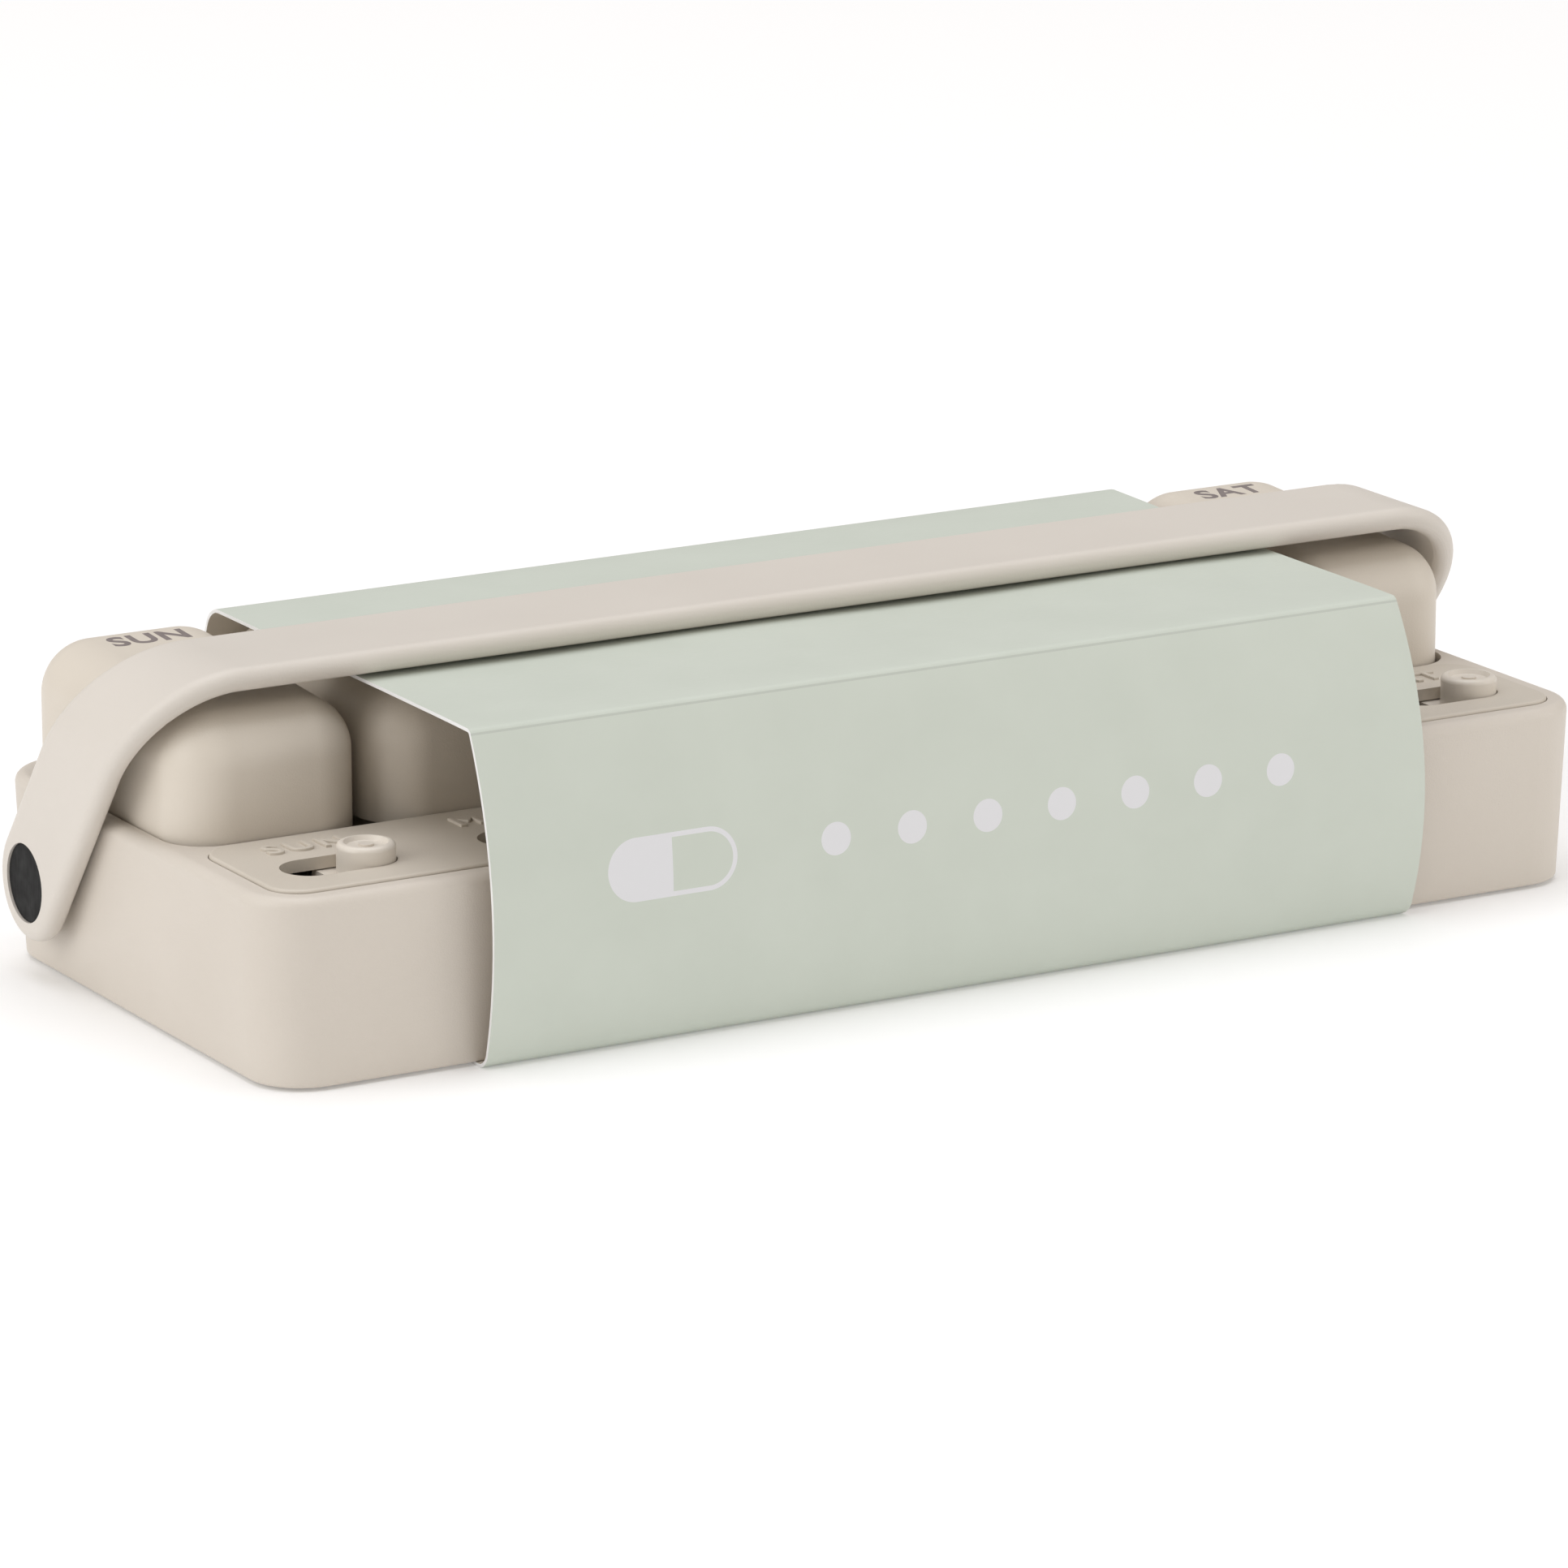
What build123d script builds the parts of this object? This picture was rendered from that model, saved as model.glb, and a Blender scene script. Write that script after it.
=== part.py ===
from build123d import *
from math import cos, radians, tan
import os

os.makedirs("parts", exist_ok=True)

# A seven-day pill organizer: a tray with a row of seven lidded cups behind a deck of seven sliders,
# a carry handle pivoted on the tray's ends, and a card sleeve wrapped round the middle.
# X runs along the row from Sunday to Saturday, Y to the back and Z up. The origin is on the table,
# under the middle of the tray. Lengths are in millimetres and angles in degrees.

# Days
days = ["sun", "mon", "tue", "wed", "thu", "fri", "sat"]
day_pitch = 31.0

# Fits and clearances
overrun = 1.0
seat_fit = 0.15
slide_fit = 0.2
running_fit = 0.05
press_fit = 0.01
axial_play = 0.1
swing_gap = 0.4

# Tray, measured over the rim, which is wider than the foot
tray_end_margin = 2.0
tray_height = 27.4
tray_draft = 2.4
tray_corner_radius = 9.4
tray_floor = 2.2
rim_round = 1.6
foot_round = 0.6

# Bay behind the deck, where the cups stand between low ribs
bay_end_wall = 2.4
bay_back_wall = 3.3
bay_corner_radius = 7.0
bay_draft = 1.5
rail_width = 1.5
rib_thickness = 1.4
rib_height = 6.0
rib_length = 30.0

# Deck plate let into the front of the rim
plate_margin = 3.2
plate_end_margin = 3.7
plate_depth = 26.6
plate_thickness = 1.8
plate_proud = 0.5
plate_corner_radius = 5.0
plate_round = 0.45
plate_ledge = 1.7

# Sliders: a round knob on a flat carriage that runs under the deck plate
knob_radius = 4.2
knob_height = 2.6
knob_round = 0.8
knob_dish_radius = 3.2
knob_dish_depth = 0.6
knob_dish_slope = 35.0
knob_dot_radius = 1.1
knob_dot_height = 0.3
slider_travel = 8.6
slot_front_margin = 5.8
carriage_length = 11.0
carriage_width = 13.0
carriage_thickness = 1.6
runner_spacing = 9.0
runner_thickness = 1.4

# Lids: deep caps with rounded edges, hinged at the back and falling a little to the front
lid_depth = 52.4
lid_height = 21.45
lid_top_slope = 3.0
lid_corner_radius = 8.0
lid_top_round = 7.7
lid_wall = 1.5
lid_sink = 1.2
lid_side_gap = 1.6
lid_front_gap = 0.35
lid_back_gap = 1.65

# Cups under the lids
cup_gap = 0.35
cup_wall = 1.4
cup_foot_round = 1.2
cup_rim_drop = 0.7

# Hinge: one knuckle on the lid between two on the cup
knuckle_radius = 1.7
lid_knuckle_length = 8.0
cup_knuckle_length = 4.0
knuckle_gap = 0.3
hinge_rise = 2.4
hinge_notch_depth = 9.5
hinge_notch_gap = 0.3
pin_radius = 0.8

# Card sleeve
card = 0.5
sleeve_end_lap = 0.7
sleeve_front_foot = 1.5
sleeve_front_belly = 4.9
sleeve_front_crease = -0.3
sleeve_back_belly = 1.6
sleeve_back_foot = 0.7
sleeve_back_crease = -1.4
sleeve_belly_height = 20.5
sleeve_fold_radius = 0.9
sleeve_back_radius = 3.0
sleeve_foot_radius = 2.2

# Handle: a flat band bent over the lids, leaning forward from its pivots
handle_thickness = 3.5
handle_width = 17.3
handle_lean = 37.4
handle_gap = 0.4
handle_rest_gap = 0.35
handle_bend_radius = 13.4
handle_edge_round = 1.6
pivot_back = 26.2
pivot_height = 14.2

# Pivots: a headed stud in the tray's end wall under a black cap
stud_radius = 2.5
stud_head_radius = 4.2
stud_head_thickness = 0.8
cap_radius = 5.8
cap_thickness = 1.0
cap_recess = 0.3
cap_round = 0.2
pivot_pad_radius = 6.2
pivot_boss_radius = 5.0
pivot_boss_height = 1.2

# Levels above the table
tray_bottom_z = card
floor_z = tray_bottom_z + tray_floor
rim_z = tray_bottom_z + tray_height
plate_top_z = rim_z + plate_proud
plate_bottom_z = plate_top_z - plate_thickness
carriage_top_z = plate_bottom_z - slide_fit
carriage_bottom_z = carriage_top_z - carriage_thickness
lid_bottom_z = rim_z - lid_sink
lid_top_z = lid_bottom_z + lid_height
hinge_z = rim_z + hinge_rise
cup_rim_z = hinge_z - cup_rim_drop
sleeve_top_z = lid_top_z + card
strap_under_z = sleeve_top_z + handle_rest_gap
strap_top_z = strap_under_z + handle_thickness
pivot_z = tray_bottom_z + pivot_height

# Places along Y, front to back
bay_depth = lid_front_gap + lid_depth + lid_back_gap
tray_depth = plate_margin + plate_depth + rail_width + bay_depth + bay_back_wall
front_y = -tray_depth / 2
back_y = tray_depth / 2
plate_y = front_y + plate_margin + plate_depth / 2
slot_radius = knob_radius + slide_fit
slider_y = front_y + plate_margin + slot_front_margin + slot_radius
bay_front_y = plate_y + plate_depth / 2 + rail_width
bay_back_y = back_y - bay_back_wall
lid_front_y = bay_front_y + lid_front_gap
lid_back_y = lid_front_y + lid_depth
lid_y = (lid_front_y + lid_back_y) / 2
hinge_y = lid_back_y - knuckle_radius

# Places along X
tray_length = len(days) * day_pitch + 2 * tray_end_margin
lid_width = day_pitch - lid_side_gap
sleeve_length = (len(days) - 2) * day_pitch + 2 * sleeve_end_lap
day_x = [day_pitch * (index - (len(days) - 1) / 2) for index in range(len(days))]
bay_length = tray_length - 2 * bay_end_wall
plate_length = tray_length - 2 * plate_end_margin
arm_inner_x = tray_length / 2 + handle_gap
arm_outer_x = arm_inner_x + handle_thickness
cup_width = lid_width - 2 * (lid_wall + cup_gap)
cup_depth = lid_depth - 2 * (lid_wall + cup_gap)
hinge_length = lid_knuckle_length + 2 * (knuckle_gap + cup_knuckle_length)


def finish(part, name):
    """Name a finished piece and write it to its own file."""
    part.label = name
    export_step(part, f"parts/{name}.step")


# Base tray: drafted walls, an open bay for the cups and a well under the deck
foot_run = tray_height * tan(radians(tray_draft))
well_length = plate_length - 2 * plate_ledge
well_depth = plate_depth - 2 * plate_ledge
runner_height = carriage_bottom_z - slide_fit - floor_z
rib_offset = cup_width / 2 + seat_fit + rib_thickness / 2

with BuildPart() as base_tray:
    with BuildSketch(Plane.XY.offset(tray_bottom_z)):
        RectangleRounded(
            tray_length - 2 * foot_run, tray_depth - 2 * foot_run, tray_corner_radius - foot_run
        )
    extrude(amount=tray_height, taper=-tray_draft)
    fillet(base_tray.faces().sort_by(Axis.Z)[-1].edges(), radius=rim_round)
    fillet(base_tray.faces().sort_by(Axis.Z)[0].edges(), radius=foot_round)
    # Round pads that space the handle off the end walls
    for side in (-1, 1):
        with BuildSketch(Plane.YZ.offset(side * (tray_length / 2 - bay_end_wall))):
            with Locations((pivot_back, pivot_z)):
                Circle(pivot_pad_radius)
        extrude(amount=side * (bay_end_wall + handle_gap - slide_fit))
    # Bay for the cups
    with BuildSketch(Plane.XY.offset(rim_z)):
        with Locations((0, (bay_front_y + bay_back_y) / 2)):
            RectangleRounded(bay_length, bay_back_y - bay_front_y, bay_corner_radius)
    extrude(amount=floor_z - rim_z, taper=bay_draft, mode=Mode.SUBTRACT)
    # Seat of the deck plate and the well below it
    with BuildSketch(Plane.XY.offset(plate_bottom_z)):
        with Locations((0, plate_y)):
            RectangleRounded(
                plate_length + 2 * seat_fit, plate_depth + 2 * seat_fit, plate_corner_radius + seat_fit
            )
    extrude(amount=plate_thickness + overrun, mode=Mode.SUBTRACT)
    with BuildSketch(Plane.XY.offset(floor_z)):
        with Locations((0, plate_y)):
            RectangleRounded(well_length, well_depth, plate_corner_radius - plate_ledge)
    extrude(amount=rim_z - floor_z, mode=Mode.SUBTRACT)
    # Two runners that carry the sliders
    with BuildSketch(Plane.XY.offset(floor_z)):
        with Locations((0, slider_y)):
            with GridLocations(0, runner_spacing, 1, 2):
                Rectangle(well_length, runner_thickness)
    extrude(amount=runner_height)
    # Low ribs on both sides of every cup
    with BuildSketch(Plane.XY.offset(floor_z)):
        for x in day_x:
            with Locations((x - rib_offset, lid_y), (x + rib_offset, lid_y)):
                Rectangle(rib_thickness, rib_length)
    extrude(amount=rib_height)
    # Bosses behind the pivots, and the holes for the studs
    for side in (-1, 1):
        wall_x = tray_length / 2 - bay_end_wall
        with BuildSketch(Plane.YZ.offset(side * (wall_x - pivot_boss_height))):
            with Locations((pivot_back, pivot_z)):
                Circle(pivot_boss_radius)
        extrude(amount=side * (pivot_boss_height + bay_end_wall / 2))
        with BuildSketch(Plane.YZ.offset(side * (wall_x - pivot_boss_height - overrun))):
            with Locations((pivot_back, pivot_z)):
                Circle(stud_radius + press_fit)
        extrude(amount=side * (pivot_boss_height + bay_end_wall + 2 * overrun), mode=Mode.SUBTRACT)
finish(base_tray.part, "base_tray")

# Deck plate: a thin cover with one long slot for each slider
with BuildPart() as deck_plate:
    with BuildSketch(Plane.XY.offset(plate_bottom_z)):
        with Locations((0, plate_y)):
            RectangleRounded(plate_length, plate_depth, plate_corner_radius)
    extrude(amount=plate_thickness)
    fillet(deck_plate.faces().sort_by(Axis.Z)[-1].edges(), radius=plate_round)
    with BuildSketch(Plane.XY.offset(plate_top_z)):
        for x in day_x:
            with Locations((x, slider_y)):
                SlotCenterToCenter(slider_travel, 2 * slot_radius)
    extrude(amount=-plate_thickness, mode=Mode.SUBTRACT)
finish(deck_plate.part, "deck_plate")

# Sliders, each pushed to the right end of its slot
with BuildPart() as slider:
    with BuildSketch(Plane.XY.offset(carriage_bottom_z)):
        with Locations((slider_travel / 2, slider_y)):
            RectangleRounded(carriage_length, carriage_width, knob_round)
    extrude(amount=carriage_thickness)
    with BuildSketch(Plane.XY.offset(carriage_top_z)):
        with Locations((slider_travel / 2, slider_y)):
            Circle(knob_radius)
    extrude(amount=plate_top_z + knob_height - carriage_top_z)
    fillet(slider.faces().sort_by(Axis.Z)[-1].edges(), radius=knob_round)
    knob_top = Plane.XY.offset(plate_top_z + knob_height)
    with BuildSketch(knob_top):
        with Locations((slider_travel / 2, slider_y)):
            Circle(knob_dish_radius)
    extrude(amount=-knob_dish_depth, taper=knob_dish_slope, mode=Mode.SUBTRACT)
    with BuildSketch(knob_top.offset(-knob_dish_depth)):
        with Locations((slider_travel / 2, slider_y)):
            Circle(knob_dot_radius)
    extrude(amount=knob_dot_height)
for day, x in zip(days, day_x):
    finish(slider.part.moved(Location((x, 0, 0))), f"slider_{day}")

# Cups: open bins with the two outer knuckles of the hinge on the back wall
with BuildPart() as cup:
    with BuildSketch(Plane.XY.offset(floor_z)):
        with Locations((0, lid_y)):
            RectangleRounded(cup_width, cup_depth, lid_corner_radius - lid_wall - cup_gap)
    extrude(amount=cup_rim_z - floor_z)
    fillet(cup.faces().sort_by(Axis.Z)[0].edges(), radius=cup_foot_round)
    offset(amount=-cup_wall, openings=cup.faces().sort_by(Axis.Z)[-1])
    # The lid's knuckle turns in a notch of the back wall
    with BuildSketch(Plane.YZ):
        with Locations((hinge_y, hinge_z)):
            Circle(knuckle_radius + swing_gap)
    extrude(amount=lid_knuckle_length / 2 + knuckle_gap, both=True, mode=Mode.SUBTRACT)
    for side in (-1, 1):
        with BuildSketch(Plane.YZ.offset(side * (lid_knuckle_length / 2 + knuckle_gap))):
            with Locations((hinge_y, hinge_z)):
                Circle(knuckle_radius)
        extrude(amount=side * cup_knuckle_length)
    with BuildSketch(Plane.YZ):
        with Locations((hinge_y, hinge_z)):
            Circle(pin_radius + press_fit)
    extrude(amount=hinge_length / 2, both=True, mode=Mode.SUBTRACT)
for day, x in zip(days, day_x):
    finish(cup.part.moved(Location((x, 0, 0))), f"cup_{day}")

# Lids: rounded caps, cut away low at the back so that they can swing open
lid_front_top_z = lid_top_z - lid_depth * tan(radians(lid_top_slope))

with BuildPart() as lid:
    with BuildSketch(Plane.XY.offset(lid_bottom_z)):
        with Locations((0, lid_y)):
            RectangleRounded(lid_width, lid_depth, lid_corner_radius)
    extrude(amount=lid_height)
    with BuildSketch(Plane.YZ):
        Polygon((lid_front_y, lid_front_top_z), (lid_back_y, lid_top_z), (lid_front_y, lid_top_z), align=None)
    extrude(amount=lid_width, both=True, mode=Mode.SUBTRACT)
    fillet(lid.faces().sort_by(Axis.Z)[-1].edges(), radius=lid_top_round)
    offset(amount=-lid_wall, openings=lid.faces().sort_by(Axis.Z)[0])
    with BuildSketch(Plane.XY.offset(hinge_z + hinge_notch_gap)):
        with Locations((0, lid_back_y)):
            Rectangle(lid_width + overrun, 2 * hinge_notch_depth)
    extrude(amount=lid_bottom_z - hinge_z - hinge_notch_gap, mode=Mode.SUBTRACT)
    # Room for the cup's knuckles
    with BuildSketch(Plane.YZ):
        with Locations((hinge_y, hinge_z)):
            Circle(knuckle_radius + swing_gap)
    extrude(amount=hinge_length / 2 + knuckle_gap, both=True, mode=Mode.SUBTRACT)
    # The lid's own knuckle, joined to the back wall by a short web
    with BuildSketch(Plane.YZ):
        with Locations((hinge_y, hinge_z)):
            Circle(knuckle_radius)
            Rectangle(knuckle_radius, 2 * knuckle_radius, align=(Align.MIN, Align.MIN))
    extrude(amount=lid_knuckle_length / 2, both=True)
    with BuildSketch(Plane.YZ):
        with Locations((hinge_y, hinge_z)):
            Circle(pin_radius + running_fit)
    extrude(amount=lid_knuckle_length / 2, both=True, mode=Mode.SUBTRACT)
for day, x in zip(days, day_x):
    finish(lid.part.moved(Location((x, 0, 0))), f"lid_{day}")

# Hinge pins, one through each set of knuckles
with BuildPart() as hinge_pins:
    for x in day_x:
        with BuildSketch(Plane.YZ.offset(x - hinge_length / 2)):
            with Locations((hinge_y, hinge_z)):
                Circle(pin_radius)
        extrude(amount=hinge_length)
finish(hinge_pins.part, "hinge_pins")

# Handle: a leaning band with round ends, cut to the bent strap's section
strap_mid_x = (arm_inner_x + arm_outer_x) / 2
strap_mid_z = (strap_under_z + strap_top_z) / 2
strap_rise = (strap_top_z - pivot_z) / cos(radians(handle_lean))
band_reach = strap_rise + handle_width * tan(radians(handle_lean))
bore_depth = cap_recess + cap_thickness + stud_head_thickness + 2 * axial_play

with BuildPart() as handle:
    with BuildSketch(Plane.YZ.offset(-arm_outer_x)):
        with Locations((pivot_back, pivot_z)):
            Circle(handle_width / 2)
            Rectangle(handle_width, band_reach, rotation=handle_lean, align=(Align.CENTER, Align.MIN))
    extrude(amount=2 * arm_outer_x)
    with BuildSketch(Plane.XZ):
        with BuildLine():
            FilletPolyline(
                (-strap_mid_x, 0),
                (-strap_mid_x, strap_mid_z),
                (strap_mid_x, strap_mid_z),
                (strap_mid_x, 0),
                radius=handle_bend_radius + handle_thickness / 2,
            )
        trace(line_width=handle_thickness)
    extrude(amount=tray_depth, both=True, mode=Mode.INTERSECT)
    across = handle.edges().filter_by(Axis.Y)
    ends = handle.edges().filter_by(Axis.X).filter_by(lambda edge: edge.length < 2 * handle_thickness)
    fillet(handle.edges() - across - ends, radius=handle_edge_round)
    for side in (-1, 1):
        with Locations(Plane(origin=(side * arm_outer_x, pivot_back, pivot_z), z_dir=(side, 0, 0))):
            CounterBoreHole(
                radius=stud_radius + running_fit,
                counter_bore_radius=cap_radius + running_fit,
                counter_bore_depth=bore_depth,
                depth=handle_thickness,
            )
finish(handle.part, "handle")

# Pivot studs and the black caps over their heads
cap_outer_x = arm_outer_x - cap_recess
head_outer_x = cap_outer_x - cap_thickness - axial_play
stud_inner_x = tray_length / 2 - bay_end_wall - pivot_boss_height

for side, name in ((-1, "left"), (1, "right")):
    with BuildPart() as pivot_stud:
        with BuildSketch(Plane.YZ.offset(side * stud_inner_x)):
            with Locations((pivot_back, pivot_z)):
                Circle(stud_radius)
        extrude(amount=side * (head_outer_x - stud_inner_x))
        with BuildSketch(Plane.YZ.offset(side * head_outer_x)):
            with Locations((pivot_back, pivot_z)):
                Circle(stud_head_radius)
        extrude(amount=-side * stud_head_thickness)
    finish(pivot_stud.part, f"pivot_stud_{name}")

    with BuildPart() as pivot_cap:
        with BuildSketch(Plane.YZ.offset(side * (cap_outer_x - cap_thickness))):
            with Locations((pivot_back, pivot_z)):
                Circle(cap_radius)
        extrude(amount=side * cap_thickness)
        fillet(pivot_cap.faces().sort_by(Axis.X)[-1 if side > 0 else 0].edges(), radius=cap_round)
    finish(pivot_cap.part, f"pivot_cap_{name}")

# Card sleeve: one closed band, bellied in front and drawn over the lids
with BuildPart() as sleeve:
    with BuildSketch(Plane.YZ.offset(-sleeve_length / 2)) as wrap:
        front_foot = (front_y - sleeve_front_foot, 0)
        front_belly = (front_y - sleeve_front_belly, sleeve_belly_height)
        front_crease = (front_y - sleeve_front_crease, sleeve_top_z)
        back_foot = (back_y + sleeve_back_foot, 0)
        back_belly = (back_y + sleeve_back_belly, sleeve_belly_height)
        back_crease = (lid_back_y + sleeve_back_crease, sleeve_top_z)
        with BuildLine():
            Line(front_foot, back_foot)
            ThreePointArc(back_foot, back_belly, back_crease)
            Line(back_crease, front_crease)
            ThreePointArc(front_crease, front_belly, front_foot)
        make_face()
        fillet(wrap.vertices().group_by(Axis.Y)[0], radius=sleeve_foot_radius)
        fillet(wrap.vertices().group_by(Axis.Y)[-1].sort_by(Axis.X)[0], radius=sleeve_fold_radius)
        fillet(wrap.vertices().group_by(Axis.Y)[-1].sort_by(Axis.X)[-1], radius=sleeve_back_radius)
        offset(amount=-card, mode=Mode.SUBTRACT)
    extrude(amount=sleeve_length)
finish(sleeve.part, "sleeve")
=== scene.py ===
from math import cos, pi, radians, sin, tan

import bmesh
import bpy
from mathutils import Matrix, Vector


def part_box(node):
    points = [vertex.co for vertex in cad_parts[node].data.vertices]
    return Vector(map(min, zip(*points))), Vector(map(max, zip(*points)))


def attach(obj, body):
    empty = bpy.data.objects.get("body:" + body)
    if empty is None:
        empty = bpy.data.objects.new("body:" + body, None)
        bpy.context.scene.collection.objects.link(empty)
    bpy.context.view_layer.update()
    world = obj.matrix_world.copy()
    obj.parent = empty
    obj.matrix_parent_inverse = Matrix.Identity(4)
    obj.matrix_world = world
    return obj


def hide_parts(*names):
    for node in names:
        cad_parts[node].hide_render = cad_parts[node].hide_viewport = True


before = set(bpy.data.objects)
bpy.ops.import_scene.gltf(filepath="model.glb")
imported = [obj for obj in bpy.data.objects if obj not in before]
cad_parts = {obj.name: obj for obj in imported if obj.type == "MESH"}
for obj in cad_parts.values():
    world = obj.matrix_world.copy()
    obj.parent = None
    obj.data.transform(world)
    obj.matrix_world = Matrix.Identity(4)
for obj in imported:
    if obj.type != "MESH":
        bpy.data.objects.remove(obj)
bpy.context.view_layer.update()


# Base tray: one deep injection moulding in warm beige plastic, with drafted walls and a rolled rim.
# Its mould was spark eroded, so the skin is satin with an even fine grain, and the melt's flow
# left very faint clouds in it. The cups, the deck, the studs and the sleeve all sit on it.
def add_node(tree, kind, **values):
    """Add one node to a tree and set those of its inputs that are named."""
    node = tree.nodes.new(kind)
    for name, value in values.items():
        node.inputs[name.replace("_", " ")].default_value = value
    return node


def add_group(name, inputs, outputs):
    """Start a node group: named inputs with their first values, and named outputs."""
    tree = bpy.data.node_groups.new(name, "ShaderNodeTree")
    for label, start in inputs.items():
        socket = tree.interface.new_socket(label, in_out="INPUT", socket_type="NodeSocketFloat")
        socket.default_value = start
    for label in outputs:
        tree.interface.new_socket(label, in_out="OUTPUT", socket_type="NodeSocketFloat")
    return tree, tree.nodes.new("NodeGroupInput"), tree.nodes.new("NodeGroupOutput")


moulded_skin, skin_in, skin_out = add_group(
    "moulded_skin",
    {"Clouds per metre": 40.0, "Grains per metre": 3600.0},
    ["Cloud", "Sheen", "Grain"],
)
skin_place = add_node(moulded_skin, "ShaderNodeTexCoord")
skin_cloud = add_node(moulded_skin, "ShaderNodeTexNoise", Detail=3.0, Roughness=0.45)
skin_flow = add_node(moulded_skin, "ShaderNodeMapping", Scale=(9.0, 55.0, 55.0))
skin_sheen = add_node(moulded_skin, "ShaderNodeTexNoise", Scale=1.0, Detail=2.0, Distortion=0.6)
skin_grain = add_node(moulded_skin, "ShaderNodeTexNoise", Detail=2.0, Roughness=0.65)
moulded_skin.links.new(skin_place.outputs["Object"], skin_cloud.inputs["Vector"])
moulded_skin.links.new(skin_in.outputs["Clouds per metre"], skin_cloud.inputs["Scale"])
moulded_skin.links.new(skin_place.outputs["Object"], skin_flow.inputs["Vector"])
moulded_skin.links.new(skin_flow.outputs["Vector"], skin_sheen.inputs["Vector"])
moulded_skin.links.new(skin_place.outputs["Object"], skin_grain.inputs["Vector"])
moulded_skin.links.new(skin_in.outputs["Grains per metre"], skin_grain.inputs["Scale"])
moulded_skin.links.new(skin_cloud.outputs["Fac"], skin_out.inputs["Cloud"])
moulded_skin.links.new(skin_sheen.outputs["Fac"], skin_out.inputs["Sheen"])
moulded_skin.links.new(skin_grain.outputs["Fac"], skin_out.inputs["Grain"])


def new_material(name):
    """An empty material with its tree and its shader."""
    material = bpy.data.materials.new(name)
    material.use_nodes = True
    return material, material.node_tree, material.node_tree.nodes["Principled BSDF"]


noise_low, noise_high = 0.3, 0.7


def two_tones(tree, first, second):
    """A ramp between two colours, over the span that a noise mostly keeps to."""
    ramp = add_node(tree, "ShaderNodeValToRGB")
    places = (noise_low, noise_high)
    for stop, place, colour in zip(ramp.color_ramp.elements, places, (first, second)):
        stop.position = place
        stop.color = (*colour, 1.0)
    return ramp


def spread(tree, low, high):
    """A stage that turns a noise into a value between two others, over the same span."""
    return add_node(
        tree,
        "ShaderNodeMapRange",
        From_Min=noise_low,
        From_Max=noise_high,
        To_Min=low,
        To_Max=high,
    )


def moulded_plastic(name, pale, deep, roughness, grain_depth):
    """Satin plastic that drifts between two close tones, with its mould's grain in the skin."""
    material, tree, shader = new_material(name)
    shader.inputs["IOR"].default_value = 1.49
    shader.inputs["Specular IOR Level"].default_value = 0.45
    skin = add_node(tree, "ShaderNodeGroup")
    skin.node_tree = moulded_skin
    tone = two_tones(tree, pale, deep)
    gloss = spread(tree, *roughness)
    relief = add_node(tree, "ShaderNodeBump", Strength=0.6, Distance=grain_depth)
    tree.links.new(skin.outputs["Cloud"], tone.inputs["Fac"])
    tree.links.new(skin.outputs["Sheen"], gloss.inputs["Value"])
    tree.links.new(skin.outputs["Grain"], relief.inputs["Height"])
    tree.links.new(tone.outputs["Color"], shader.inputs["Base Color"])
    tree.links.new(gloss.outputs["Result"], shader.inputs["Roughness"])
    tree.links.new(relief.outputs["Normal"], shader.inputs["Normal"])
    return material


def dress(names, material):
    """Give CAD nodes their finish."""
    for name in names:
        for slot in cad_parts[name].material_slots:
            slot.material = material


tray_beige = moulded_plastic(
    "tray_beige",
    pale=(0.665, 0.61, 0.543),
    deep=(0.64, 0.586, 0.52),
    roughness=(0.44, 0.54),
    grain_depth=0.00006,
)
dress(["base_tray"], tray_beige)


# Cups: seven thin-walled bins of the same plastic, dropped between the tray's ribs.
# Their inside is polished so that nothing sticks to it, which leaves them shinier than the tray.
days = ["sun", "mon", "tue", "wed", "thu", "fri", "sat"]
cup_beige = moulded_plastic(
    "cup_beige",
    pale=(0.70, 0.645, 0.565),
    deep=(0.68, 0.62, 0.54),
    roughness=(0.24, 0.32),
    grain_depth=0.00001,
)
dress([f"cup_{day}" for day in days], cup_beige)


# Hinge pins: lengths of drawn steel wire pressed into the cups' knuckles, one for each lid.
# Drawing leaves long fine scratches along the wire, which runs from side to side.
brush_lines, brush_in, brush_out = add_group(
    "brush_lines", {"Along": 60.0, "Across": 5200.0, "Up": 5200.0}, ["Line", "Patch"]
)
brush_place = add_node(brush_lines, "ShaderNodeTexCoord")
brush_size = add_node(brush_lines, "ShaderNodeCombineXYZ")
brush_stretch = add_node(brush_lines, "ShaderNodeVectorMath")
brush_stretch.operation = "MULTIPLY"
brush_line = add_node(brush_lines, "ShaderNodeTexNoise", Scale=1.0, Detail=3.0, Roughness=0.6)
brush_patch = add_node(brush_lines, "ShaderNodeTexNoise", Scale=420.0, Detail=2.0)
for label, axis in (("Along", "X"), ("Across", "Y"), ("Up", "Z")):
    brush_lines.links.new(brush_in.outputs[label], brush_size.inputs[axis])
brush_lines.links.new(brush_place.outputs["Object"], brush_stretch.inputs[0])
brush_lines.links.new(brush_size.outputs["Vector"], brush_stretch.inputs[1])
brush_lines.links.new(brush_stretch.outputs["Vector"], brush_line.inputs["Vector"])
brush_lines.links.new(brush_place.outputs["Object"], brush_patch.inputs["Vector"])
brush_lines.links.new(brush_line.outputs["Fac"], brush_out.inputs["Line"])
brush_lines.links.new(brush_patch.outputs["Fac"], brush_out.inputs["Patch"])


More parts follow.
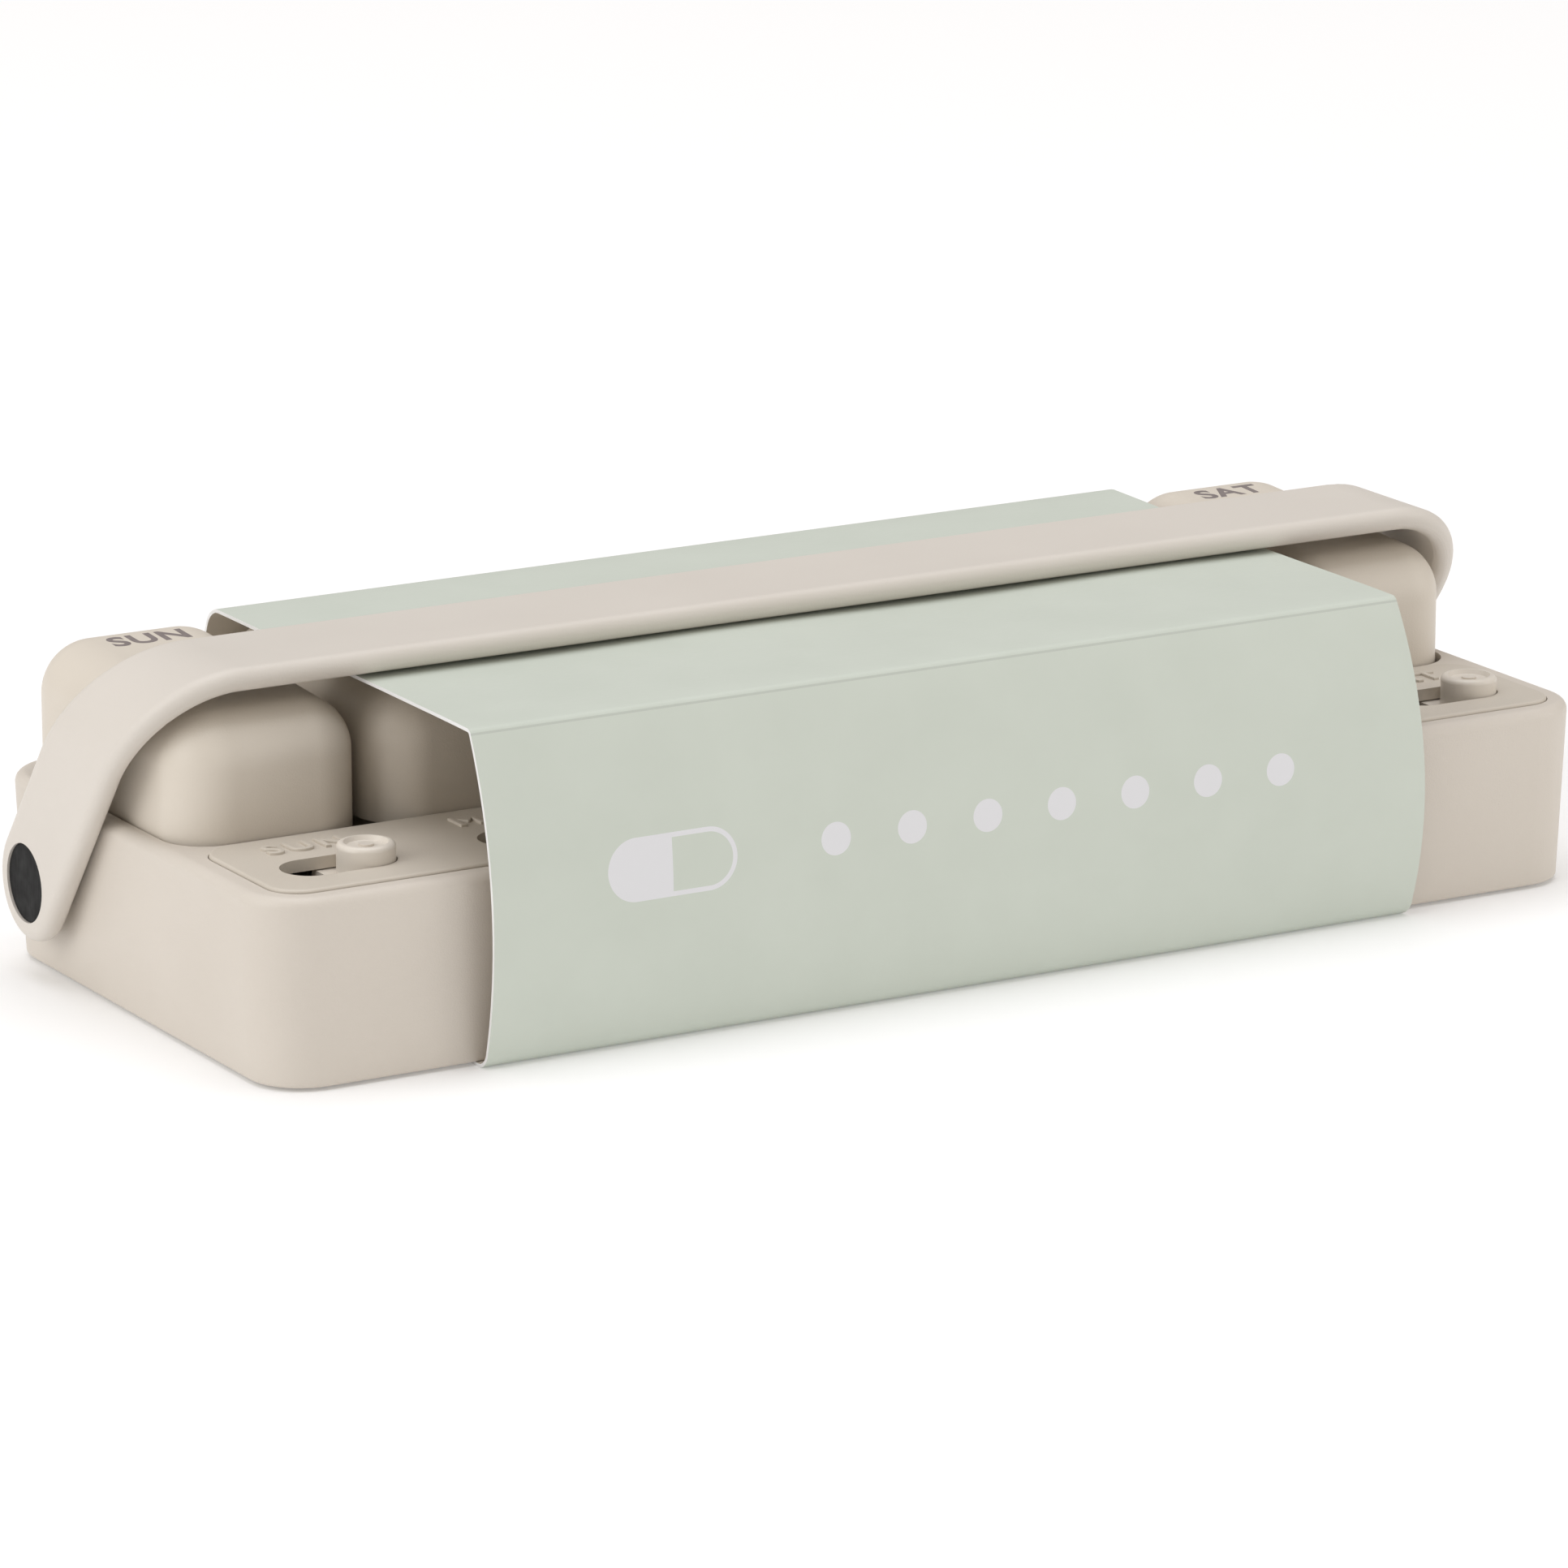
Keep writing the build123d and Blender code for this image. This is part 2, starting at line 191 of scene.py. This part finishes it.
def brushed(name, pale, deep, roughness, line_depth, along, across, up):
    """A surface with fine parallel lines, for drawn or turned metal and for brushed caps."""
    material, tree, shader = new_material(name)
    lines = add_node(tree, "ShaderNodeGroup")
    lines.node_tree = brush_lines
    for label, per_metre in (("Along", along), ("Across", across), ("Up", up)):
        lines.inputs[label].default_value = per_metre
    tone = two_tones(tree, deep, pale)
    gloss = spread(tree, *roughness)
    relief = add_node(tree, "ShaderNodeBump", Strength=0.5, Distance=line_depth)
    tree.links.new(lines.outputs["Line"], tone.inputs["Fac"])
    tree.links.new(lines.outputs["Patch"], gloss.inputs["Value"])
    tree.links.new(lines.outputs["Line"], relief.inputs["Height"])
    tree.links.new(tone.outputs["Color"], shader.inputs["Base Color"])
    tree.links.new(gloss.outputs["Result"], shader.inputs["Roughness"])
    tree.links.new(relief.outputs["Normal"], shader.inputs["Normal"])
    return material, shader


drawn_steel, drawn_shader = brushed(
    "drawn_steel",
    pale=(0.62, 0.62, 0.63),
    deep=(0.50, 0.50, 0.51),
    roughness=(0.22, 0.34),
    line_depth=0.00001,
    along=60.0,
    across=5200.0,
    up=5200.0,
)
drawn_shader.inputs["Metallic"].default_value = 1.0
dress(["hinge_pins"], drawn_steel)


# Lids: seven deep caps moulded in the tray's plastic, each turning on its own pin.
# Their mould has a finer grain than the tray's, so the rounded tops are a little smoother.
lid_beige = moulded_plastic(
    "lid_beige",
    pale=(0.69, 0.63, 0.548),
    deep=(0.667, 0.607, 0.525),
    roughness=(0.40, 0.48),
    grain_depth=0.00004,
)
dress([f"lid_{day}" for day in days], lid_beige)


# Printed day names: one pass of grey-brown ink pad-printed on the back of each lid's sloping top.
# The ink is a film of a few hundredths of a millimetre, drier and more matt than the plastic.
day_pitch = 0.031
day_x = {day: day_pitch * (index - 3) for index, day in enumerate(days)}
lid_slope = radians(3.0)
lid_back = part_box("lid_sun")[1].y
lid_back_edge_z = 0.04815
print_y = 0.0289
print_z = lid_back_edge_z - (lid_back - print_y) * tan(lid_slope)
print_aside = 0.0006
print_size, print_spacing = 0.0061, 1.1
print_boldness, print_film = 0.0002, 0.00002
weld_distance = 0.000002
word_smooth_angle = radians(35.0)


def day_word(name, letters, size, spacing, boldness, half_depth):
    """A day's name as a flat-lying mesh at the origin, made bolder by its own chamfered edge."""
    bpy.ops.object.select_all(action="DESELECT")
    bpy.ops.object.text_add()
    word = bpy.context.object
    word.name = name
    word.data.body = letters.upper()
    word.data.align_x = "CENTER"
    word.data.align_y = "CENTER"
    word.data.size = size
    word.data.space_character = spacing
    word.data.extrude = boldness
    word.data.bevel_depth = boldness
    word.data.bevel_resolution = 1
    word.data.resolution_u = 6
    bpy.ops.object.convert(target="MESH")
    word = bpy.context.object
    word.scale.z = half_depth / (2 * boldness)
    bpy.ops.object.transform_apply(location=False, rotation=False, scale=True)
    return word


def settle(piece, place, tilt):
    """Put a finished mesh at its place and tilt, and keep both in the mesh."""
    piece.location = place
    piece.rotation_euler = (tilt, 0.0, 0.0)
    bpy.ops.object.transform_apply(location=True, rotation=True, scale=True)
    bpy.ops.object.mode_set(mode="EDIT")
    bpy.ops.mesh.select_all(action="SELECT")
    bpy.ops.mesh.remove_doubles(threshold=weld_distance)
    bpy.ops.mesh.normals_make_consistent(inside=False)
    bpy.ops.object.mode_set(mode="OBJECT")
    bpy.ops.object.shade_smooth_by_angle(angle=word_smooth_angle)


day_ink, ink_tree, ink_shader = new_material("day_ink")
ink_shader.inputs["Specular IOR Level"].default_value = 0.25
ink_skin = add_node(ink_tree, "ShaderNodeGroup")
ink_skin.node_tree = moulded_skin
ink_skin.inputs["Clouds per metre"].default_value = 900.0
ink_tone = two_tones(ink_tree, (0.205, 0.175, 0.170), (0.245, 0.212, 0.205))
ink_gloss = spread(ink_tree, 0.62, 0.72)
ink_tree.links.new(ink_skin.outputs["Cloud"], ink_tone.inputs["Fac"])
ink_tree.links.new(ink_skin.outputs["Cloud"], ink_gloss.inputs["Value"])
ink_tree.links.new(ink_tone.outputs["Color"], ink_shader.inputs["Base Color"])
ink_tree.links.new(ink_gloss.outputs["Result"], ink_shader.inputs["Roughness"])

for day in days:
    word = day_word(
        f"lid_print_{day}", day, print_size, print_spacing, print_boldness, print_film
    )
    settle(word, (day_x[day] + print_aside, print_y, print_z), lid_slope)
    word.data.materials.append(day_ink)
    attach(word, f"lid_{day}_body" if day in ("sun", "sat") else "tray")


# Deck plate: a flat cover let into the front of the rim, with a slot for each slide tab.
# It is moulded by itself in the same beige and pressed in, so a hairline shows round it.
deck_beige = moulded_plastic(
    "deck_beige",
    pale=(0.615, 0.562, 0.487),
    deep=(0.593, 0.54, 0.466),
    roughness=(0.42, 0.50),
    grain_depth=0.00005,
)
dress(["deck_plate"], deck_beige)


# Raised day names: moulded with the deck plate, behind each slot, standing up by 0.4 mm.
# Their edges are a little rounded, as they come from engraving in the mould.
deck_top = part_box("deck_plate")[1].z
letter_rise, letter_half_depth = 0.0004, 0.0003
letter_size, letter_spacing, letter_boldness = 0.0058, 1.28, 0.00015
letter_y = -0.0212

for day in days:
    word = day_word(
        f"deck_letters_{day}", day, letter_size, letter_spacing, letter_boldness, letter_half_depth
    )
    settle(word, (day_x[day], letter_y, deck_top + letter_rise - letter_half_depth), 0.0)
    word.data.materials.append(deck_beige)
    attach(word, "tray")


# Slide tabs: seven round knobs with a dished top, each on a carriage that runs under the deck.
# They are moulded in a harder, paler grade that fingers keep polished.
tab_beige = moulded_plastic(
    "tab_beige",
    pale=(0.73, 0.675, 0.60),
    deep=(0.705, 0.65, 0.575),
    roughness=(0.30, 0.40),
    grain_depth=0.00001,
)
dress([f"slider_{day}" for day in days], tab_beige)


# Handle: one flat band of the same plastic, bent down at both ends and hung on the two studs.
# It is gripped, so its mould was left with a softer grain than the tray's and a broad sheen.
handle_beige = moulded_plastic(
    "handle_beige",
    pale=(0.69, 0.644, 0.588),
    deep=(0.67, 0.624, 0.568),
    roughness=(0.42, 0.50),
    grain_depth=0.00005,
)
dress(["handle"], handle_beige)


# Pivot studs: two headed steel shafts turned on a lathe and pressed into the tray's end walls.
# The turning marks run round the shaft; the heads are hidden under the caps.
turned_steel, turned_shader = brushed(
    "turned_steel",
    pale=(0.60, 0.60, 0.61),
    deep=(0.48, 0.48, 0.49),
    roughness=(0.25, 0.36),
    line_depth=0.00001,
    along=4200.0,
    across=160.0,
    up=160.0,
)
turned_shader.inputs["Metallic"].default_value = 1.0
dress(["pivot_stud_left", "pivot_stud_right"], turned_steel)


# Pivot caps: two thin black plastic discs snapped into the handle's ends over the stud heads.
# Their face is lightly brushed upright, which breaks its gloss into fine streaks.
cap_black, cap_shader = brushed(
    "cap_black",
    pale=(0.018, 0.0175, 0.0175),
    deep=(0.008, 0.008, 0.008),
    roughness=(0.45, 0.62),
    line_depth=0.00002,
    along=300.0,
    across=3800.0,
    up=260.0,
)
cap_shader.inputs["Specular IOR Level"].default_value = 0.1
dress(["pivot_cap_left", "pivot_cap_right"], cap_black)


# Card sleeve: a band of half-millimetre carton folded round the five middle days and glued shut.
# Outside it is printed sage green with a matt varnish, inside it is bare grey board, and the
# cut ends show its white core. Being only card, it bellies out in front and isn't quite square.
card_thickness = 0.0005
sleeve_half = 0.0782
sleeve_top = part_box("sleeve")[1].z
front_foot, front_crease, front_bulge = -0.0460, -0.0442, 0.00425
back_foot, back_crease, back_bulge = 0.0452, 0.03815, 0.00393
foot_fold, front_fold, back_fold = 0.0021, 0.0007, 0.0026
fold_steps, panel_cuts, length_cuts = 5, 17, 39
bulge_mean, long_ripple, short_ripple = 0.97, 0.02, 0.01
long_waves, long_lean, short_waves = 9.0, 2.0, 23.0
dip_mean, dip_ripple, dip_waves, dip_at_left = 0.0002, 0.00015, 7.0, 0.0004
front_slant, back_slant, foot_slant = 0.0036, 0.0016, 0.0014
overhang, overhang_share = 0.0010, 0.35
card_smooth_angle = radians(40.0)


def pick(piece, kind, wanted):
    """In edit mode, select only those vertices, edges or faces that pass a test."""
    bpy.ops.mesh.select_mode(type=kind)
    bpy.ops.mesh.select_all(action="DESELECT")
    mesh = bmesh.from_edit_mesh(piece.data)
    for element in {"VERT": mesh.verts, "EDGE": mesh.edges, "FACE": mesh.faces}[kind]:
        if wanted(element):
            element.select_set(True)
    mesh.select_flush_mode()
    bmesh.update_edit_mesh(piece.data)


def runs_along(edge):
    """Whether an edge runs mostly along the row of days."""
    run = edge.verts[1].co - edge.verts[0].co
    return abs(run.x) > 0.9 * run.length


def on_corner(edge, front, top):
    """Whether an edge lies along one of the four folds, before they are rounded."""
    middle = (edge.verts[0].co + edge.verts[1].co) / 2
    return runs_along(edge) and (middle.y < 0) == front and (middle.z > sleeve_top / 2) == top


bpy.ops.object.select_all(action="DESELECT")
bpy.ops.mesh.primitive_cube_add(
    size=1.0,
    location=(0.0, (front_foot + back_foot) / 2, sleeve_top / 2),
    scale=(2 * sleeve_half, back_foot - front_foot, sleeve_top),
)
card = bpy.context.object
card.name = "card_sleeve"
bpy.ops.object.transform_apply(location=True, rotation=True, scale=True)
bpy.ops.object.mode_set(mode="EDIT")
pick(card, "FACE", lambda face: abs(face.normal.x) > 0.5)
bpy.ops.mesh.delete(type="FACE")
pick(card, "VERT", lambda vert: vert.co.y < 0 and vert.co.z > sleeve_top / 2)
bpy.ops.transform.translate(value=(0.0, front_crease - front_foot, 0.0))
pick(card, "VERT", lambda vert: vert.co.y > 0 and vert.co.z > sleeve_top / 2)
bpy.ops.transform.translate(value=(0.0, back_crease - back_foot, 0.0))
folds = (
    (True, False, foot_fold),
    (False, False, foot_fold),
    (True, True, front_fold),
    (False, True, back_fold),
)
for front, top, fold in folds:
    pick(
        card,
        "EDGE",
        lambda edge: on_corner(edge, front, top) and edge.calc_length() > sleeve_half,
    )
    bpy.ops.mesh.bevel(offset=fold, segments=fold_steps, affect="EDGES")
pick(card, "EDGE", lambda edge: not runs_along(edge) and edge.calc_length() > sleeve_top / 2)
bpy.ops.mesh.subdivide(number_cuts=panel_cuts)
pick(card, "EDGE", runs_along)
bpy.ops.mesh.subdivide(number_cuts=length_cuts)

# The slack of the card: a belly in front and behind, a dip on top and ends that aren't square.
shell = bmesh.from_edit_mesh(card.data)
for vert in shell.verts:
    rise = vert.co.z / sleeve_top
    across = (vert.co.y - front_crease) / (back_crease - front_crease)
    along = vert.co.x / sleeve_half
    to_right, to_left = max(0.0, along), max(0.0, -along)
    if vert.co.y < front_crease + foot_fold or vert.co.y > back_crease - back_fold:
        bulge = -front_bulge if vert.co.y < 0 else back_bulge
        long_wave = long_ripple * sin(long_waves * along + long_lean * rise)
        short_wave = short_ripple * sin(short_waves * along)
        vert.co.y += bulge * 4 * rise * (1 - rise) * (bulge_mean + long_wave + short_wave)
    if rise > 0.9 and 0 < across < 1:
        dip = dip_mean + dip_ripple * sin(dip_waves * along)
        dip += dip_at_left * to_left ** 8 * (1 - across)
        vert.co.z -= sin(pi * across) ** 2 * dip
    share = min(max(across, 0.0), 1.0)
    top_slant = front_slant * (1 - share) + back_slant * share
    vert.co.x -= to_right ** 2 * (rise ** 2 * top_slant + (1 - rise) ** 2 * foot_slant)
    top_overhang = overhang * max(0.0, 1 - share / overhang_share)
    vert.co.x -= to_left ** 2 * rise ** 2 * top_overhang
bmesh.update_edit_mesh(card.data)
bpy.ops.object.mode_set(mode="OBJECT")

paper_fibre, fibre_in, fibre_out = add_group(
    "paper_fibre", {"Fibres per metre": 1800.0, "Mottles per metre": 90.0}, ["Fibre", "Mottle"]
)
fibre_place = add_node(paper_fibre, "ShaderNodeTexCoord")
fibre_lie = add_node(paper_fibre, "ShaderNodeMapping", Scale=(0.35, 1.0, 1.0))
fibre_thread = add_node(paper_fibre, "ShaderNodeTexNoise", Detail=4.0, Roughness=0.7)
fibre_mottle = add_node(paper_fibre, "ShaderNodeTexNoise", Detail=3.0)
paper_fibre.links.new(fibre_place.outputs["Object"], fibre_lie.inputs["Vector"])
paper_fibre.links.new(fibre_lie.outputs["Vector"], fibre_thread.inputs["Vector"])
paper_fibre.links.new(fibre_in.outputs["Fibres per metre"], fibre_thread.inputs["Scale"])
paper_fibre.links.new(fibre_place.outputs["Object"], fibre_mottle.inputs["Vector"])
paper_fibre.links.new(fibre_in.outputs["Mottles per metre"], fibre_mottle.inputs["Scale"])
paper_fibre.links.new(fibre_thread.outputs["Fac"], fibre_out.inputs["Fibre"])
paper_fibre.links.new(fibre_mottle.outputs["Fac"], fibre_out.inputs["Mottle"])


def carton(name, pale, deep, roughness, fibre_depth, fibres=1800.0):
    """A card surface: fibres in its relief and gloss, and a soft mottle in its colour."""
    material, tree, shader = new_material(name)
    shader.inputs["Specular IOR Level"].default_value = 0.3
    fibre = add_node(tree, "ShaderNodeGroup")
    fibre.node_tree = paper_fibre
    fibre.inputs["Fibres per metre"].default_value = fibres
    tone = two_tones(tree, pale, deep)
    gloss = spread(tree, *roughness)
    relief = add_node(tree, "ShaderNodeBump", Strength=0.4, Distance=fibre_depth)
    tree.links.new(fibre.outputs["Mottle"], tone.inputs["Fac"])
    tree.links.new(fibre.outputs["Fibre"], gloss.inputs["Value"])
    tree.links.new(fibre.outputs["Fibre"], relief.inputs["Height"])
    tree.links.new(tone.outputs["Color"], shader.inputs["Base Color"])
    tree.links.new(gloss.outputs["Result"], shader.inputs["Roughness"])
    tree.links.new(relief.outputs["Normal"], shader.inputs["Normal"])
    return material, tree, shader, tone


def reckon(tree, operation, *terms):
    """A math node whose terms are numbers or other nodes' outputs."""
    node = tree.nodes.new("ShaderNodeMath")
    node.operation = operation
    for socket, term in zip(node.inputs, terms):
        if isinstance(term, float):
            socket.default_value = term
        else:
            tree.links.new(term, socket)
    return node.outputs[0]


def overprint(tree, under, mask, colour):
    """Lay one plain colour over another wherever a mask says so."""
    layer = add_node(tree, "ShaderNodeMix")
    layer.data_type = "RGBA"
    factor, first, second = layer.inputs[0], layer.inputs[6], layer.inputs[7]
    tree.links.new(mask, factor)
    tree.links.new(under, first)
    second.default_value = (*colour, 1.0)
    return layer.outputs[2]


# The print in front: a capsule with one half filled and a dot for each day; along the fold, a thin
# band of painted shade stands for the shade in the score's groove.
capsule_x, capsule_half, capsule_radius, capsule_line = -0.050, 0.0058, 0.0042, 0.00035
dots_x, dot_pitch, dot_radius, print_line_z = 0.014, 0.0125, 0.0024, 0.0265
score_shade_half = 0.00016
week_print, _, week_out = add_group("week_print", {}, ["Ink", "Score shade"])
week_place = add_node(week_print, "ShaderNodeTexCoord")
week_axes = add_node(week_print, "ShaderNodeSeparateXYZ")
week_print.links.new(week_place.outputs["Object"], week_axes.inputs["Vector"])
height = reckon(week_print, "SUBTRACT", week_axes.outputs["Z"], print_line_z)
square = reckon(week_print, "MULTIPLY", height, height)
reach = reckon(week_print, "SUBTRACT", week_axes.outputs["X"], capsule_x)
past = reckon(week_print, "SUBTRACT", reckon(week_print, "ABSOLUTE", reach), capsule_half)
past = reckon(week_print, "MAXIMUM", past, 0.0)
away = reckon(week_print, "SQRT", reckon(week_print, "MULTIPLY_ADD", past, past, square))
rim = reckon(week_print, "COMPARE", away, capsule_radius, capsule_line)
filled = reckon(week_print, "LESS_THAN", away, capsule_radius)
filled = reckon(week_print, "MULTIPLY", filled, reckon(week_print, "LESS_THAN", reach, 0.0))
row = reckon(week_print, "SUBTRACT", week_axes.outputs["X"], dots_x)
cell = reckon(week_print, "WRAP", row, dot_pitch / 2, -dot_pitch / 2)
dot = reckon(week_print, "SQRT", reckon(week_print, "MULTIPLY_ADD", cell, cell, square))
dot = reckon(week_print, "LESS_THAN", dot, dot_radius)
row_half = dot_pitch * len(days) / 2
in_row = reckon(week_print, "LESS_THAN", reckon(week_print, "ABSOLUTE", row), row_half)
marks = reckon(week_print, "MAXIMUM", rim, filled)
marks = reckon(week_print, "MAXIMUM", marks, reckon(week_print, "MULTIPLY", dot, in_row))
in_front = reckon(week_print, "LESS_THAN", week_axes.outputs["Y"], front_crease)
week_print.links.new(reckon(week_print, "MULTIPLY", marks, in_front), week_out.inputs["Ink"])
# Painted shade: a thin band just under the front fold darkens the print where the score's groove
# would be shaded.
score_shade_z = sleeve_top - front_fold
score_shade = reckon(week_print, "COMPARE", week_axes.outputs["Z"], score_shade_z, score_shade_half)
week_print.links.new(reckon(week_print, "MULTIPLY", score_shade, in_front), week_out.inputs["Score shade"])

sage_print, sage_tree, sage_shader, sage_tone = carton(
    "sage_print",
    pale=(0.608, 0.651, 0.584),
    deep=(0.590, 0.633, 0.566),
    roughness=(0.42, 0.52),
    fibre_depth=0.00002,
)
week = add_node(sage_tree, "ShaderNodeGroup")
week.node_tree = week_print
inked = overprint(sage_tree, sage_tone.outputs["Color"], week.outputs["Ink"], (0.74, 0.74, 0.765))
# The score's band is a darker copy of the sage, painted shade rather than ink.
score_shaded = overprint(sage_tree, inked, week.outputs["Score shade"], (0.52, 0.555, 0.50))
sage_tree.links.new(score_shaded, sage_shader.inputs["Base Color"])
grey_board = carton(
    "grey_board",
    pale=(0.78, 0.725, 0.645),
    deep=(0.73, 0.68, 0.60),
    roughness=(0.80, 0.90),
    fibre_depth=0.00005,
)[0]
white_core = carton(
    "white_core",
    pale=(0.88, 0.88, 0.88),
    deep=(0.82, 0.82, 0.82),
    roughness=(0.80, 0.90),
    fibre_depth=0.00003,
    fibres=5000.0,
)[0]
for material in (sage_print, grey_board, white_core):
    card.data.materials.append(material)
bpy.ops.object.modifier_add(type="SOLIDIFY")
wall = card.modifiers[-1]
wall.thickness = card_thickness
wall.offset = -1.0
wall.material_offset = 1
wall.material_offset_rim = 2
bpy.ops.object.modifier_apply(modifier=wall.name)
bpy.ops.object.shade_smooth_by_angle(angle=card_smooth_angle)
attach(card, "tray")
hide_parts("sleeve")


# Floor: a plain pale sheet under the object, wide enough to fill the view behind it.
# It only catches the soft shadow and isn't part of the object.
floor_width = 16.0
bpy.ops.object.select_all(action="DESELECT")
bpy.ops.mesh.primitive_plane_add(size=floor_width, location=(0.0, 0.0, 0.0))
floor = bpy.context.object
floor.name = "floor"
floor_white, _, floor_shader = new_material("floor_white")
floor_shader.inputs["Base Color"].default_value = (0.88, 0.88, 0.88, 1.0)
floor_shader.inputs["Roughness"].default_value = 0.9
floor_shader.inputs["Emission Color"].default_value = (1.0, 1.0, 1.0, 1.0)
floor_shader.inputs["Emission Strength"].default_value = 0.14
floor_shader.inputs["Specular IOR Level"].default_value = 0.0
floor.data.materials.append(floor_white)


# Light: a warm white room with four soft boxes: a large one to the upper left for the end and the
# tops, one straight above, and two small ones in front and to the right that lift the front.
studio = bpy.data.worlds.new("studio")
bpy.context.scene.world = studio
studio.use_nodes = True
room = studio.node_tree.nodes["Background"]
room.inputs["Color"].default_value = (1.0, 0.945, 0.87, 1.0)
room.inputs["Strength"].default_value = 0.39
bpy.context.scene.view_settings.view_transform = "Standard"


def soft_box(name, place, target, size, power, colour):
    """A square area light that faces a point."""
    bpy.ops.object.light_add(type="AREA", location=place)
    lamp = bpy.context.object
    lamp.name = name
    lamp.rotation_euler = (Vector(target) - Vector(place)).to_track_quat("-Z", "Y").to_euler()
    lamp.data.size = size
    lamp.data.energy = power
    lamp.data.color = colour


soft_box(
    "key_light",
    place=(-2.9, 0.1, 1.5),
    target=(0.0, 0.0, 0.03),
    size=2.6,
    power=46.5,
    colour=(1.0, 1.0, 1.0),
)
soft_box(
    "top_light",
    place=(0.0, 0.2, 3.2),
    target=(0.0, 0.0, 0.03),
    size=3.0,
    power=57.0,
    colour=(0.99, 1.005, 1.06),
)
soft_box(
    "front_light",
    place=(0.55, -1.7, 0.5),
    target=(0.02, 0.0, 0.03),
    size=1.2,
    power=3.2,
    colour=(1.0, 0.99, 0.975),
)
soft_box(
    "right_light",
    place=(1.8, -1.2, 0.7),
    target=(0.05, 0.0, 0.03),
    size=1.2,
    power=9.0,
    colour=(1.0, 0.98, 0.955),
)


# Camera: a long lens from the front left and a little above, as the photograph was taken.
# Its turn, rise, distance and shift come from lines and corners that the photograph shows.
view_turn, view_rise, view_distance = radians(-30.41), radians(14.67), 1.1927
view_target = Vector((0.0, 0.0, 0.0268))
view_back = Vector(
    (sin(view_turn) * cos(view_rise), -cos(view_turn) * cos(view_rise), sin(view_rise))
)
bpy.ops.object.camera_add(
    location=view_target + view_back * view_distance,
    rotation=(pi / 2 - view_rise, 0.0, view_turn),
)
camera = bpy.context.object
camera.data.sensor_width = 36.0
camera.data.lens = 185.8
camera.data.shift_x = -0.01278
camera.data.shift_y = -0.02854
bpy.context.scene.camera = camera
